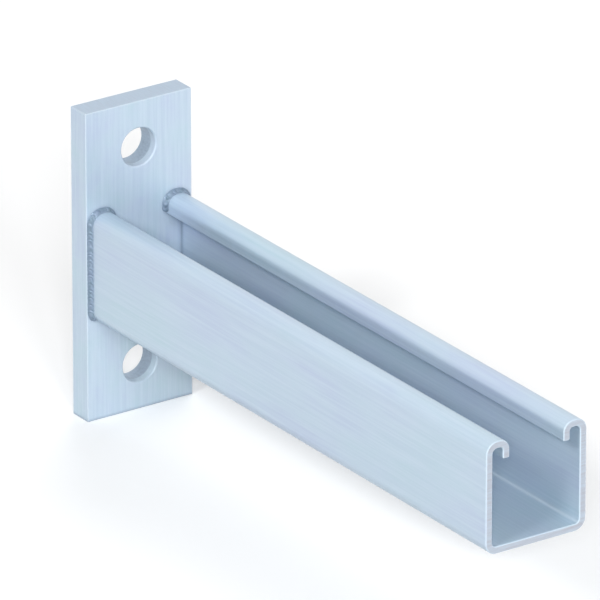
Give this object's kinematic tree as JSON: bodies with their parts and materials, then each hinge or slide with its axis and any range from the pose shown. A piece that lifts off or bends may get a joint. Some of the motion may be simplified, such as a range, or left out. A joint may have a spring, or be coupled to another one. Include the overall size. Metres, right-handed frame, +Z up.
{
  "type": "cantilever strut arm",
  "caption": "Cantilever support arm: a lipped steel strut channel, open slot upwards, welded square to an upright back plate with a bolt hole above and below the arm.",
  "frame": {"origin": "centre of the back plate's back face, level with the middle of the arm and midway between the two bolt holes", "axes": "+X straight out of the wall along the arm to its free end, +Z up with the channel's open slot on top, +Y to the right for someone who faces the free end"},
  "size_m": [0.25, 0.0446, 0.1174],
  "materials": {
    "plate_steel": "satin",
    "channel_steel": "satin",
    "weld_metal": "satin"
  },
  "bodies": {
    "root": {"back_plate": "plate_steel", "strut_channel": "channel_steel", "weld_left": "weld_metal", "weld_right": "weld_metal"}
  },
  "joints": []
}
